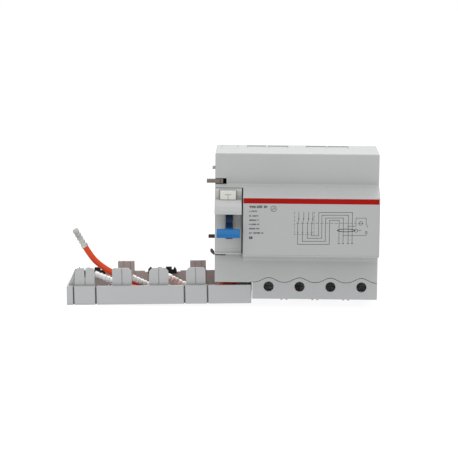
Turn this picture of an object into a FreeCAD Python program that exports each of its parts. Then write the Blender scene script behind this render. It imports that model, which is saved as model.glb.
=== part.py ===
# Four-pole residual-current block with a coupling arm, as a parametric assembly.
# Frame: +X right, +Y to the mounting rail, +Z up, millimetres.
# Origin: centre of the seat on the 35 mm rail, at the housing's mid-width.
import FreeCAD, Part
import Sketcher
import math
import os
import re

os.makedirs("parts", exist_ok=True)
V = FreeCAD.Vector
doc = FreeCAD.newDocument("residual_current_block")

# ---------------------------------------------------------------- dimensions
DIMS = [
    # housing envelope
    ("half_w", 58.2), ("z_top", 49.7), ("z_bot", -55.2), ("y_front", -50.0),
    ("y_nose", -68.0), ("y_back", 5.5), ("y_part", -22.0), ("wall", 2.0),
    ("nose_half", 21.1), ("slope_top", 28.1), ("slope_bot", -25.5),
    ("notch_x", -31.4), ("notch_z", -43.2), ("back_cham_y", 6.5), ("back_cham_z", 9.0),
    # toggle bay
    ("bay_x", -38.1), ("bay_top", 25.8), ("bezel_x", -39.0),
    # rail seat
    ("rail_half", 18.2), ("clip_half", 8.0), ("gap", 0.4),
    # terminals
    ("pole_pitch", 22.13), ("pole_x0", -19.5), ("screw_z", -46.15), ("hole_rad", 3.65),
    ("head_rad", 3.2), ("shank_rad", 2.45),
    # toggle
    ("piv_y", -52.5), ("piv_z", 1.0), ("shaft_rad", 1.5), ("bore_rad", 1.55), ("drum_rad", 11.5),
    ("stem_x0", -50.1), ("stem_x1", -45.7), ("handle_x0", -56.4), ("handle_x1", -40.0),
    # trip lever
    ("trip_y", -36.0), ("trip_z", -26.0), ("pin_y", -44.0), ("pin_z", -11.0), ("pin_rad", 1.35),
    # arm
    ("arm_x0", -164.2), ("arm_x1", -31.8), ("arm_h", 13.4), ("arm_z", -58.5), ("arm_droop", 1.18),
    ("pitch", 26.5), ("st_one", -150.95),
    # leads
    ("lead_dia", 4.4), ("ferrule_dia", 4.8), ("ferrule_len", 14.0),
    # sensing core
    ("core_x", 18.0), ("core_z", 6.0), ("core_out", 17.0), ("core_in", 10.0), ("core_y0", -33.0), ("core_y1", -21.0),
]
D = dict(DIMS)
sheet = doc.addObject("Spreadsheet::Sheet", "Dims")
for i, (alias, value) in enumerate(DIMS, 1):
    sheet.set("A%d" % i, alias)
    sheet.set("B%d" % i, repr(value))
    sheet.setAlias("B%d" % i, alias)
doc.recompute()


def E(expr):
    """A size as an expression on the sheet's cells."""
    if not isinstance(expr, str):
        return repr(float(expr))
    return re.sub(r"[A-Za-z_][A-Za-z_0-9]*", lambda m: "Dims." + m.group(0) if m.group(0) in D else m.group(0), expr)


def val(expr):
    if not isinstance(expr, str):
        return float(expr)
    return float(sheet.evalExpression(E(expr)))


def bind(obj, **props):
    for key, expr in props.items():
        obj.setExpression(key.replace("__", "."), E(expr))
    return obj


count = [0]


def nm(base):
    count[0] += 1
    return "%s_%d" % (base, count[0])


# ------------------------------------------------------------ Part primitives
def box(x0, x1, y0, y1, z0, z1, name="block"):
    o = doc.addObject("Part::Box", nm(name))
    bind(o, Length="(%s) - (%s)" % (x1, x0), Width="(%s) - (%s)" % (y1, y0), Height="(%s) - (%s)" % (z1, z0),
         Placement__Base__x=x0, Placement__Base__y=y0, Placement__Base__z=z0)
    return o


ROT = {"x": FreeCAD.Rotation(V(0, 1, 0), 90), "y": FreeCAD.Rotation(V(1, 0, 0), -90), "z": FreeCAD.Rotation()}


def cyl(axis, r, a0, a1, c1, c2, name="round"):
    """Cylinder along an axis from a0 to a1; (c1, c2) are its other two coordinates in X, Y, Z order."""
    o = doc.addObject("Part::Cylinder", nm(name))
    o.Placement = FreeCAD.Placement(V(), ROT[axis])
    bind(o, Radius=r, Height="(%s) - (%s)" % (a1, a0))
    p = {"x": (a0, c1, c2), "y": (c1, a0, c2), "z": (c1, c2, a0)}[axis]
    bind(o, Placement__Base__x=p[0], Placement__Base__y=p[1], Placement__Base__z=p[2])
    return o


def group(kind, label, shapes):
    o = doc.addObject(kind, nm("g"))
    o.Shapes = shapes
    if label:
        o.Label = label
    return o


def fuse(shapes, label=None):
    return shapes[0] if len(shapes) == 1 and not label else group("Part::MultiFuse", label, shapes)


def cut(base, tools, label=None):
    o = doc.addObject("Part::Cut", nm("c"))
    o.Base = base
    o.Tool = tools[0] if len(tools) == 1 else group("Part::MultiFuse", None, tools)
    if label:
        o.Label = label
    return o


def common(a, b, label=None):
    o = doc.addObject("Part::Common", nm("k"))
    o.Base, o.Tool = a, b
    if label:
        o.Label = label
    return o


def solids(shapes, label):
    """Several separate solids in one node."""
    o = doc.addObject("Part::Compound", nm("s"))
    o.Links = shapes
    o.Label = label
    return o


# ------------------------------------------------------------- sketch features
class Solid:
    """A PartDesign body made of pads and pockets of sketched outlines."""

    def __init__(self, label):
        self.body = doc.addObject("PartDesign::Body", nm("body"))
        self.body.Label = label
        self.n = 0

    def sketch(self, plane, loops, at):
        role = {"x": "YZ_Plane", "y": "XZ_Plane", "z": "XY_Plane"}[plane]
        base = [f for f in self.body.Origin.OriginFeatures if f.Role == role][0]
        sk = self.body.newObject("Sketcher::SketchObject", nm("sketch"))
        sk.AttachmentSupport = [(base, "")]
        sk.MapMode = "FlatFace"
        sk.setExpression("AttachmentOffset.Base.z", E("-(%s)" % at if plane == "y" else at))
        for loop in loops:
            g0 = sk.GeometryCount
            if loop[0] == "circle":
                _, cu, cv, r = loop
                sk.addGeometry(Part.Circle(V(val(cu), val(cv), 0), V(0, 0, 1), val(r)))
                todo = [("Radius", (g0, val(r)), r), ("DistanceX", (g0, 3, val(cu)), cu), ("DistanceY", (g0, 3, val(cv)), cv)]
            else:
                pts = [(val(a), val(b)) for a, b in loop]
                n = len(pts)
                for i in range(n):
                    a, b = pts[i], pts[(i + 1) % n]
                    sk.addGeometry(Part.LineSegment(V(a[0], a[1], 0), V(b[0], b[1], 0)))
                for i in range(n):
                    sk.addConstraint(Sketcher.Constraint("Coincident", g0 + i, 2, g0 + (i + 1) % n, 1))
                todo = []
                for i, (a, b) in enumerate(loop):
                    todo.append(("DistanceX", (g0 + i, 1, val(a)), a))
                    todo.append(("DistanceY", (g0 + i, 1, val(b)), b))
            for kind, args, expr in todo:
                c = sk.addConstraint(Sketcher.Constraint(kind, *args))
                if isinstance(expr, str):
                    sk.setExpression("Constraints[%d]" % c, E(expr))
        return sk

    def pad(self, plane, loops, lo, hi):
        at = hi if plane == "y" else lo
        sk = self.sketch(plane, loops, at)
        f = self.body.newObject("PartDesign::Pad", nm("pad"))
        f.Profile = sk
        f.setExpression("Length", E("(%s) - (%s)" % (hi, lo)))
        self.last(f)
        return self

    def pocket(self, plane, loops, lo, hi):
        before = self.volume()
        at = lo if plane == "y" else hi
        sk = self.sketch(plane, loops, at)
        f = self.body.newObject("PartDesign::Pocket", nm("pocket"))
        f.Profile = sk
        f.setExpression("Length", E("(%s) - (%s)" % (hi, lo)))
        self.last(f)
        if self.volume() > before - 1e-3:
            raise RuntimeError("a pocket in %s cuts nothing" % self.body.Label)
        return self

    def last(self, f):
        self.body.Tip = f
        doc.recompute()
        if "Invalid" in f.State or "Error" in f.State or f.Shape.isNull():
            raise RuntimeError("%s in %s failed: %s" % (f.Name, self.body.Label, f.State))
        self.tip = f

    def volume(self):
        doc.recompute()
        return self.body.Shape.Volume

    def fillet(self, r, test, kind="PartDesign::Fillet"):
        names = []
        for i, e in enumerate(self.tip.Shape.Edges, 1):
            if test(e):
                names.append("Edge%d" % i)
        if not names:
            raise RuntimeError("no edge to round in %s" % self.body.Label)
        f = self.body.newObject(kind, nm("round"))
        f.Base = (self.tip, names)
        if kind.endswith("Fillet"):
            f.Radius = r
        else:
            f.Size = r
        self.last(f)
        return self


def along(e, axis):
    d = e.Vertexes[-1].Point - e.Vertexes[0].Point
    if d.Length < 1e-6 or e.Curve.TypeId != "Part::GeomLine":
        return False
    d.normalize()
    return abs(abs({"x": d.x, "y": d.y, "z": d.z}[axis]) - 1) < 1e-6


def near(e, **kw):
    c = e.CenterOfMass
    return all(abs(getattr(c, k) - val(v)) < 0.06 for k, v in kw.items())


NODES = []


def node(obj):
    NODES.append(obj.body if isinstance(obj, Solid) else obj)
    return obj


def rect(u0, u1, v0, v1):
    return [(u0, v0), (u1, v0), (u1, v1), (u0, v1)]


def pole(i):
    return "pole_x0 + %d * pole_pitch" % i


# wavy parting line between the front cover and the terminal cover: round humps over
# the screws, short level valleys between them, swept front to back
def wave_shape(offset):
    z_low, z_high = -42.95 + offset, -39.65 + offset
    pts = []
    x = D["notch_x"] - 1.0
    end = D["half_w"] + 1.0
    while x <= end + 1e-6:
        u = (x - D["pole_x0"] + D["pole_pitch"] / 2) % D["pole_pitch"] - D["pole_pitch"] / 2
        half = D["pole_pitch"] / 2 - 1.1
        k = 0.0 if abs(u) > half else 0.5 + 0.5 * math.cos(math.pi * u / half)
        pts.append(V(x, D["y_front"] - 1, z_low + (z_high - z_low) * k))
        x += 0.92
    curve = Part.BSplineCurve()
    curve.interpolate(pts)
    a, b = pts[0], pts[-1]
    lo = D["z_bot"] - 12
    c1, c2 = V(b.x, b.y, lo), V(a.x, a.y, lo)
    wire = Part.Wire([curve.toShape(), Part.makeLine(b, c1), Part.makeLine(c1, c2), Part.makeLine(c2, a)])
    return Part.Face(wire).extrude(V(0, D["y_part"] - D["y_front"] + 2.2, 0))


def shape_feature(name, shape):
    o = doc.addObject("Part::Feature", nm(name))
    o.Shape = shape
    o.Placement = FreeCAD.Placement()
    return o


# ================================================================== front cover
fc = Solid("front_cover_core")
fc.pad("x", [[("y_part", "z_top"), ("y_front", "z_top"), ("y_front", "slope_top"), ("y_front - 1.2", "slope_top - 0.75"),
              ("y_nose + 0.3", "nose_half"), ("y_nose + 0.3", "-nose_half"), ("y_front", "slope_bot"),
              ("y_front", "notch_z"), ("y_part", "notch_z")]], "-half_w", "half_w")
fc.fillet(0.9, lambda e: along(e, "x") and near(e, y="y_front", z="z_top"))
fc.fillet(0.9, lambda e: along(e, "x") and (near(e, y="y_nose + 0.3", z="nose_half") or near(e, y="y_nose + 0.3", z="-nose_half")))
fc.fillet(3.0, lambda e: along(e, "x") and near(e, y="y_front", z="slope_bot"))
fc.fillet(0.7, lambda e: not along(e, "x") and abs(abs(e.CenterOfMass.x) - D["half_w"]) < 1e-3 and e.CenterOfMass.y < D["y_part"] - 0.1
          and e.CenterOfMass.z > D["notch_z"] + 0.1)
# toggle bay through the nose, then the shoulder wall behind it
fc.pocket("y", [rect("-half_w - 1", "bay_x", "slope_bot - 6", "bay_top")], "y_nose - 2", "y_front")
fc.pocket("y", [rect("-half_w + wall", "bay_x", "-22.2", "bay_top - 0.6")], "y_front - 1", "y_front + wall + 0.2")
# hollow of the shoulders and of the nose
fc.pocket("y", [[("-half_w + wall", "notch_z + wall"), ("notch_x - wall", "notch_z + wall"), ("notch_x - wall", "notch_z - 5"),
                 ("half_w - wall", "notch_z - 5"), ("half_w - wall", "z_top - wall"), ("-half_w + wall", "z_top - wall")]],
          "y_front + wall", "y_part + 1")
fc.pocket("x", [[("y_front + wall + 0.1", "slope_top - 1.6"), ("y_nose + 2.3", "nose_half - 1.6"), ("y_nose + 2.3", "-nose_half + 1.6"),
                 ("y_front + wall + 0.1", "slope_bot + 1.6")]], "bay_x + wall", "half_w - wall")
# left wall: curved window of the coupling pin, slit of the lower slider; front slot of the upper slider
fc.pocket("x", [[("-46.7", "-14.0"), ("-36.8", "-11.3"), ("-35.9", "-6.9"), ("-45.8", "-8.7")]], "-half_w - 1", "-half_w + wall + 0.5")
fc.pocket("y", [rect("-half_w - 1", "-50.1", 27.6, 31.8)], "y_front - 2", "-45.6")
fc.pocket("y", [rect("-half_w - 1", "-50.3", -23.8, -22.6)], "y_front - 1", "-45.6")
fc.pocket("x", [rect("y_front - 1", "-45.6", -22.7, -19.0)], "-half_w - 1", "-half_w + wall + 0.2")
# window for the leads in the ceiling of the notch
fc.pocket("z", [rect("-56.0", "-33.8", "-46", "y_part + 1")], "notch_z - 1", "notch_z + wall + 1")
wave_up = shape_feature("wave_up", wave_shape(0.2))
bosses = [cut(cyl("y", 3.2, "y_front + 1", "y_part", x, z), [cyl("y", 1.45, "y_front + 6", "y_part + 1", x, z)])
          for x, z in ((-52, 36), (52, 36), (52, -30), (-30, 36))]
seam = cut(fc.body, [wave_up])
node(fuse([seam] + bosses, "front_cover"))

# ================================================================ terminal cover
tc = Solid("terminal_cover_core")
tc.pad("y", [rect("notch_x + 0.2", "half_w", "z_bot", "-38")], "y_front", "y_part")
tc.fillet(0.7, lambda e: along(e, "z") and near(e, x="half_w", y="y_front"))
tc.fillet(0.5, lambda e: along(e, "x") and near(e, y="y_front", z="z_bot"))
tc.pocket("y", [rect("notch_x + 0.2 + wall", "half_w - wall", "z_bot + wall", "-30")], "y_front + wall", "y_part + 1")
for i in range(4):
    tc.pocket("y", [["circle"] + [pole(i), "screw_z", "hole_rad"]], "y_front - 1", "y_front + wall + 0.5")
    tc.pocket("z", [rect(pole(i) + " - 4.6", pole(i) + " + 4.6", "-34.8", "-25.0")], "z_bot - 1", "z_bot + wall + 0.5")
wave_down = shape_feature("wave_down", wave_shape(-0.2))
skirts = [box(pole(i) + " + 9.6", pole(i) + " + 10.4", "y_front + wall", "y_part - 0.5", "z_bot + wall", "-44.5") for i in range(3)]
feet = [box(pole(i) + " + %s" % a, pole(i) + " + %s" % b, "y_front + 0.6", "y_part - 6", "z_bot - 0.7", "z_bot")
        for i in range(3) for a, b in ((8.6, 10.0), (12.2, 13.6))]
node(fuse([common(tc.body, wave_down)] + skirts + feet, "terminal_cover"))

# ==================================================================== rear base
rb = Solid("rear_base_core")
rb.pad("x", [[("y_part", "z_bot"), ("y_back", "z_bot"), ("y_back", "z_top - back_cham_z"), ("y_back - back_cham_y", "z_top"), ("y_part", "z_top")]],
       "-half_w", "half_w")
rb.fillet(0.7, lambda e: along(e, "y") and near(e, z="z_top") and abs(abs(e.CenterOfMass.x) - D["half_w"]) < 1e-3)
rb.pocket("x", [rect("0", "y_back + 1", "-rail_half", "rail_half")], "-half_w - 1", "half_w + 1")
rb.pocket("x", [rect("-0.25", "1", "15.7", "rail_half")], "-half_w - 1", "half_w + 1")          # relief under the rail edges
rb.pocket("x", [rect("-0.25", "1", "-rail_half", "-15.7")], "-half_w - 1", "half_w + 1")
rb.pocket("y", [rect("-half_w - 1", "notch_x", "z_bot - 1", "notch_z")], "y_part - 1", "y_back + 1")
rb.pocket("y", [[("-half_w + wall", "notch_z + wall"), ("notch_x + wall", "notch_z + wall"), ("notch_x + wall", "z_bot + wall"),
                 ("half_w - wall", "z_bot + wall"), ("half_w - wall", "z_top - wall"), ("-half_w + wall", "z_top - wall")]],
          "y_part - 1", "-wall")
rb.pocket("y", [rect("-half_w + wall", "half_w - wall", "rail_half + wall", "z_top - back_cham_z - 1.5")], "-wall - 1", "y_back - wall")
rb.pocket("z", [rect("-56.0", "-33.8", "y_part - 1", "-14")], "notch_z - 1", "notch_z + wall + 1")
# upper rail hook, guide channel of the rail clip
hook = [box("-half_w + 6", "half_w - 6", 1.6, "y_back", "rail_half - 2.2", "rail_half", "hook")]
chan = [box("-clip_half - gap", "clip_half + gap", 1.2, 4.0, "z_bot - 1", "-rail_half + 1"),
        box("-clip_half + 1.6", "clip_half - 1.6", 3.5, "y_back + 1", "z_bot - 1", "-rail_half + 1")]
vents = []
for x0, x1 in ((-36.0, -22.4), (-20.9, -6.3), (6.6, 21.5), (22.5, 37.6)):
    vents.append(box(x0, x1, -19.6, -5.0, "z_top - 0.5", "z_top + 1", "recess"))
panel = [cut(box(-54.5, -42.5, -20.5, -4.5, "z_top - 0.3", "z_top + 1"), [box(-54.1, -42.9, -20.1, -4.9, "z_top - 1", "z_top + 2")])]
rb_holes = [cyl("y", 1.6, "y_part - 1", "y_back + 1", x, z) for x, z in ((-52, 36), (52, 36), (52, -30), (-30, 36))]
rb_sinks = [cyl("y", 3.2, "y_back - 2.6", "y_back + 1", x, z) for x, z in ((-52, 36), (52, 36), (52, -30), (-30, 36))]
rb_boss = [cyl("y", 3.4, "y_part", "y_back - 0.6", x, z) for x, z in ((-52, 36), (52, 36), (52, -30), (-30, 36))]
post_clip = box(-1.8, 1.8, 0.6, 3.2, -49.2, -46.5)
node(fuse([cut(fuse([rb.body] + hook + rb_boss), chan + vents + panel + rb_holes + rb_sinks), post_clip], "rear_base"))

node(solids([cut(fuse([cyl("y", 2.8, "y_back - 2.5", "y_back - 0.8", x, z), cyl("y", 1.4, "y_front + 8", "y_back - 2", x, z)]),
                               [box("%s - 2" % x, "%s + 2" % x, "y_back - 1.5", "y_back", "%s - 0.4" % z, "%s + 0.4" % z),
                                box("%s - 0.4" % x, "%s + 0.4" % x, "y_back - 1.5", "y_back", "%s - 2" % z, "%s + 2" % z)])
             for x, z in ((-52, 36), (52, 36), (52, -30), (-30, 36))], "case_screws"))

# ================================================================= toggle bezel
tb = Solid("toggle_bezel")
outer = [("y_front", "25.4"), ("-55.4", "25.4"), ("-58.6", "24.6"), ("-59.6", "18.2"), ("-64.6", "18.2"), ("-66.9", "16.5"), ("-68.2", "14.2"),
         ("-68.7", "11.2"), ("-68.5", "8.6"), ("-59.0", "8.6"), ("-58.2", "7.2"), ("-57.4", "-4.0"), ("-57.4", "-17.0"), ("-58.2", "-19.6"),
         ("-59.6", "-20.4"), ("-59.6", "-21.3"), ("y_front", "-21.3")]
inner = [("-49.0", "23.9"), ("-55.6", "23.9"), ("-57.3", "23.4"), ("-58.1", "16.8"), ("-64.0", "16.8"), ("-65.7", "15.6"), ("-66.9", "13.6"),
         ("-67.3", "11.2"), ("-67.2", "9.9"), ("-57.9", "9.9"), ("-56.9", "7.0"), ("-56.1", "-4.0"), ("-56.1", "-17.0"), ("-56.5", "-19.8"),
         ("-49.0", "-19.8")]
tb.pad("x", [outer], "-half_w + 0.1", "bezel_x")
tb.pocket("x", [inner], "-half_w + 1.3", "bezel_x - 1.2")
tb.pocket("y", [rect("-54.75", "-42.9", 18.2, 24.75)], "-60.5", "-53.0")          # button window
tb.pocket("y", [rect("stem_x0 - 0.25", "stem_x1 + 0.25", -10.6, 10.4)], "-62.4", "-54.0")   # slot of the drum
node(tb)

# ======================================================================= label
lp = Solid("label_plate")
lp.pad("y", [rect("bay_x + 0.35", "half_w - 0.6", "-nose_half + 1.1", 16.6)], "y_nose", "y_nose + 0.3")
node(lp)
ls = Solid("label_stripe")
ls.pad("y", [rect("bay_x + 0.35", "half_w - 0.6", 16.6, "nose_half - 0.9")], "y_nose", "y_nose + 0.3")
node(ls)

# ====================================================================== toggle
tg = Solid("toggle_core")
tg.pad("x", [["circle", "piv_y", "piv_z", "drum_rad"]], "stem_x0", "stem_x1")
tg.pad("x", [[("-58", "3.4"), ("-60", "-3.6"), ("-72.4", "-6.4"), ("-73.4", "-2.0"), ("-63.4", "2.2")]], "stem_x0", "stem_x1")
tg.pad("x", [[("-70.8", "-6.5"), ("-76.9", "-6.8"), ("-77.2", "-4.0"), ("-74.2", "-1.1"), ("-70.6", "-1.2")]], "handle_x0", "handle_x1")
tg.fillet(0.6, lambda e: along(e, "x") and e.CenterOfMass.y < -74 and e.Length > 10)
tg.fillet(0.5, lambda e: not along(e, "x") and e.CenterOfMass.y < -70.5 and (near(e, x="handle_x0") or near(e, x="handle_x1")))
tg.pocket("x", [["circle", "piv_y", "piv_z", "bore_rad"]], "stem_x0 - 1", "stem_x1 + 1")
tg.body.Label = "toggle"
node(tg)
node(cyl("x", "shaft_rad", -56.0, -41.7, "piv_y", "piv_z", "toggle_shaft")).Label = "toggle_shaft"
# torsion spring beside the drum: two open turns and two legs
node(cut(cyl("x", 2.9, "stem_x1 + 0.6", "stem_x1 + 2.0", "piv_y", "piv_z"), [cyl("x", 2.0, "stem_x1", "stem_x1 + 3", "piv_y", "piv_z")], "toggle_spring"))

# ================================================================= test button
bt = Solid("test_button")
bt.pad("y", [rect(-54.35, -43.05, 18.35, 24.6)], -64.2, -58.0)
bt.fillet(0.6, lambda e: abs(e.CenterOfMass.y + 64.2) < 1e-3)
bt.pad("y", [rect(-54.35, -43.05, 18.35, 23.0)], -58.1, -54.5)
bt.pad("y", [rect(-55.4, -42.0, 17.6, 23.0)], -54.6, -53.8)
bt.pad("y", [["circle", -48.8, 20.6, 1.3]], -53.9, -49.0)
node(bt)
node(cut(cyl("y", 2.6, -53.7, -46.0, -48.8, 20.6), [cyl("y", 1.9, -54, -45.0, -48.8, 20.6)]
         + [box(-52.5, -45, "%s" % (-52.7 + k), "%s" % (-52.0 + k), 19.8, 25) for k in (0, 2.8)]
         + [box(-52.5, -45, "%s" % (-51.3 + k), "%s" % (-50.6 + k), 16, 21.4) for k in (0, 2.8)], "test_button_spring"))
node(fuse([box(-55.0, -42.6, -45.6, -45.2, 18.8, 22.8), box(-43.4, -42.6, -45.6, -40, 18.8, 22.8)], "test_contact_blade"))
node(fuse([cyl("z", 1.6, 16, 26, -38, -34), cyl("z", 0.4, 10, 32, -38, -34)], "test_resistor"))

# ============================================================= mechanism, frame
fr = Solid("mechanism_frame_core")
fr.pad("x", [[("-55.5", "5.2"), ("-55.5", "-4.0"), ("-48.0", "-6.0"), ("-30.0", "-6.0"), ("-30.0", "14.0"), ("-51", "14.0"), ("-55.5", "8.0")]], -55.9, -55.1)
fr.pocket("x", [["circle", "piv_y", "piv_z", "shaft_rad + 0.04"]], -57, -54)
fr.body.Label = "mechanism_plate_left"
node(fr)
f2 = Solid("mechanism_plate_right")
f2.pad("x", [[("-55.5", "5.2"), ("-55.5", "-4.0"), ("-46.0", "-8.0"), ("-42.0", "-31.0"), ("-31.8", "-31.0"), ("-30.0", "-8.0"), ("-30.0", "14.0"), ("-51", "14.0"), ("-55.5", "8.0")]],
       -42.6, -41.8)
f2.pocket("x", [["circle", "trip_y", "trip_z", "shaft_rad + 0.04"]], -44, -41)
f2.pocket("x", [["circle", "piv_y", "piv_z", "shaft_rad + 0.04"]], -44, -41)
node(f2)
node(solids([cyl("x", 1.5, -55.1, -42.6, -33, 11), cyl("x", 1.5, -55.1, -42.6, -33, -3.5)], "frame_spacers"))

# trip lever on its shaft, with the coupling pin through the left wall
tl = Solid("trip_lever")
tl.pad("x", [[("trip_y - 3", "trip_z - 2"), ("trip_y + 3", "trip_z - 2"), ("trip_y + 2.6", "trip_z + 3"), ("pin_y + 2.8", "pin_z + 1.5"),
              ("pin_y - 1.5", "pin_z + 2.8"), ("pin_y - 2.6", "pin_z - 1.5"), ("trip_y - 3.4", "trip_z + 3")]], -54.6, -52.6)
tl.pad("x", [[("trip_y - 3", "trip_z - 1.9"), ("trip_y + 3", "trip_z - 1.9"), ("trip_y + 3", "trip_z + 2"), ("trip_y - 3", "trip_z + 2")]], -52.7, -44.0)
tl.pad("x", [[("trip_y - 2", "trip_z"), ("trip_y + 2", "trip_z"), ("trip_y + 2", "trip_z - 9.6"), ("trip_y - 0.5", "trip_z - 9.6")]], -50.0, -46.0)
tl.pocket("x", [["circle", "trip_y", "trip_z", "bore_rad"]], -56, -43)
tl.pocket("x", [["circle", "pin_y", "pin_z", "pin_rad + 0.001"]], -56, -52)
node(tl)
node(cyl("x", "pin_rad", -62.9, -52.6, "pin_y", "pin_z")).Label = "coupling_pin"
node(cyl("x", "shaft_rad", -56.0, -41.7, "trip_y", "trip_z")).Label = "trip_lever_shaft"
node(cut(cyl("x", 3.2, -43.8, -42.8, "trip_y", "trip_z"), [cyl("x", 2.2, -44, -42, "trip_y", "trip_z")], "trip_spring"))

# tripping relay behind the lever: case, coil, plunger that pushes the lever's lower arm
node(cut(box(-54.4, -41.6, -31.0, -9.0, -39.2, -27.6), [box(-53.2, -42.8, -29.8, -10.2, -38.0, -28.8), cyl("y", 1.8, -32, -29, -48, -33.4)], "relay_case"))
node(cut(cyl("y", 4.3, -29.6, -12.0, -48, -33.4), [cyl("y", 1.9, -31, -11, -48, -33.4)], "relay_coil"))
node(cyl("y", 1.4, -33.2, -14.0, -48, -33.4)).Label = "relay_plunger"

# ============================================================= locking sliders
us = Solid("upper_lock_slider")
us.pad("y", [[("-64.2", "28.35"), ("-57.6", "28.35"), ("-57.6", "28.0"), ("-52.6", "28.0"), ("-52.6", "31.4"), ("-57.6", "31.4"), ("-57.6", "30.9"), ("-64.2", "30.9")]],
       -50.0, -46.0)
us.pocket("y", [rect(-54.8, -54.2, 27.9, 31.5)], -50.5, -49.4)
us.fillet(0.3, lambda e: along(e, "y") and near(e, x=-64.2))
node(us)
lw = Solid("lower_lock_slider")
lw.pad("y", [[("-61.5", "-19.8"), ("-60.2", "-19.4"), ("-58.55", "-21.6"), ("-58.55", "-22.9"), ("-52.8", "-22.9"), ("-52.8", "-23.5"), ("-59.2", "-23.5"), ("-61.3", "-21.6")]],
       -49.6, -46.0)
node(lw)
node(cyl("x", 1.25, -60.4, -58.2, -42, 38.4)).Label = "locating_peg"

# ================================================================= sensing core
node(cut(cyl("y", "core_out", "core_y0", "core_y1", "core_x", "core_z"), [cyl("y", "core_in", "core_y0 - 1", "core_y1 + 1", "core_x", "core_z")], "transformer_core"))
loops = []
for k in range(10):
    ang = 36.0 * k
    b = doc.addObject("Part::Box", nm("turn"))
    bind(b, Length="core_out - core_in + 2.4", Width="core_y1 - core_y0 + 2.4", Height=3.2)
    rot = FreeCAD.Rotation(V(0, 1, 0), -ang)
    off = rot.multVec(V(D["core_in"] - 1.2, 0, -1.6))
    b.Placement = FreeCAD.Placement(V(D["core_x"] + off.x, D["core_y0"] - 1.2, D["core_z"] + off.z), rot)
    loops.append(b)
winding_hole = cut(cyl("y", "core_out + 0.05", "core_y0 - 0.05", "core_y1 + 0.05", "core_x", "core_z"),
                   [cyl("y", "core_in - 0.05", "core_y0 - 1", "core_y1 + 1", "core_x", "core_z")])
node(cut(solids(loops, "turn_set"), [winding_hole], "transformer_winding"))
node(fuse([cut(cyl("y", 21.5, "core_y0 + 2", "core_y1 - 2", "core_x", "core_z"), [cyl("y", 19.0, "core_y0", "core_y1", "core_x", "core_z")]),
           box("core_x - 4", "core_x + 4", "core_y0 + 2", "core_y1 - 2", "core_z + 21", "z_top - wall - 8")], "transformer_holder"))
board = cut(box(-26, 47.8, -13.6, -12.0, -34, 32), [cyl("y", 1.6, -15, -11, x, z) for x, z in ((-23, 29), (44.5, 29), (-23, -31), (44.5, -31))], "circuit_board")
node(board)
comp = [cyl("y", 4.0, -20.4, -13.6, -19, -22), cyl("y", 3.0, -19.4, -13.6, -10, -26), box(0, 8, -16.2, -13.6, -31, -26), box(12, 16, -15.4, -13.6, -30, -25),
        box(-24, -14, -19.0, -13.6, 8, 20), box(42, 47, -17.6, -13.6, 0, 14), cyl("y", 2.5, -18, -13.6, 44, -14), box(22, 30, -16, -13.6, -31.5, -27.5),
        box(40, 47, -16.6, -13.6, 19, 25)]
node(solids(comp, "board_components"))
node(solids([fuse([box(pole(i) + " - 3", pole(i) + " + 3", -36.2, -34.8, -50.4, "-34"), box(pole(i) + " - 3", pole(i) + " + 3", -36.2, -30, "-34", "-32.6")]) for i in range(4)], "busbars"))

# ============================================================ terminals, by pole
for i in range(4):
    c = pole(i)
    cage = Solid("terminal_cage_%d" % (i + 1))
    cage.pad("z", [rect(c + " - 5.2", c + " + 5.2", -40.8, -23.8)], "screw_z - 4.9", "screw_z + 5.1")
    cage.pocket("z", [rect(c + " - 4.0", c + " + 4.0", -38.8, -25.3)], "screw_z - 6", "screw_z + 6")
    cage.pocket("y", [["circle", c, "screw_z", "shank_rad + 0.06"]], -41.5, -38.0)
    cage.fillet(0.8, lambda e: along(e, "z") and e.CenterOfMass.y < -40.7)
    node(cage)
for i in range(4):
    c = pole(i)
    s = cut(fuse([cyl("y", "head_rad", -46.8, -44.6, c, "screw_z"), cyl("y", "shank_rad", -44.7, -36.6, c, "screw_z")]),
            [box(c + " - 2.4", c + " + 2.4", -47, -45.4, "screw_z - 0.45", "screw_z + 0.45"),
             box(c + " - 0.45", c + " + 0.45", -47, -45.4, "screw_z - 2.4", "screw_z + 2.4")], "terminal_screw_%d" % (i + 1))
    node(s)

# ==================================================================== rail clip
rc = Solid("rail_clip")
rc.pad("y", [rect("-clip_half", "clip_half", "z_bot + 0.2", "-16.0")], 1.6, 3.6)
rc.pocket("y", [rect(-4, 4, -50, -32)], 1, 5)
rc.pad("y", [rect(-4.0, 4.0, "z_bot + 0.2", "z_bot + 3.2")], 3.5, 5.4)
rc.pocket("y", [rect(-2.4, 2.4, "z_bot + 0.9", "z_bot + 2.2")], 1, 6)
node(rc)
node(cut(cyl("z", 1.25, -46.3, -32.2, 0, 2.6), [cyl("z", 0.65, -47, -32, 0, 2.6)] +
         [box(-3, 3, 0, 2.6, "%s" % (-45.6 + 1.5 * k), "%s" % (-44.9 + 1.5 * k)) for k in range(9)] +
         [box(-3, 3, 2.6, 5, "%s" % (-44.85 + 1.5 * k), "%s" % (-44.15 + 1.5 * k)) for k in range(8)], "rail_clip_spring"))

# ========================================================================== arm
def arm_place(o):
    """The arm hangs from its clip-on end by a small angle."""
    b = o.body if isinstance(o, Solid) else o
    c = V(D["arm_x1"], 0, D["arm_z"])
    b.Placement = FreeCAD.Placement(V(), FreeCAD.Rotation(V(0, 1, 0), -D["arm_droop"]), c)
    return o


def st(i):
    return "st_one + %d * pitch" % i


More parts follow.
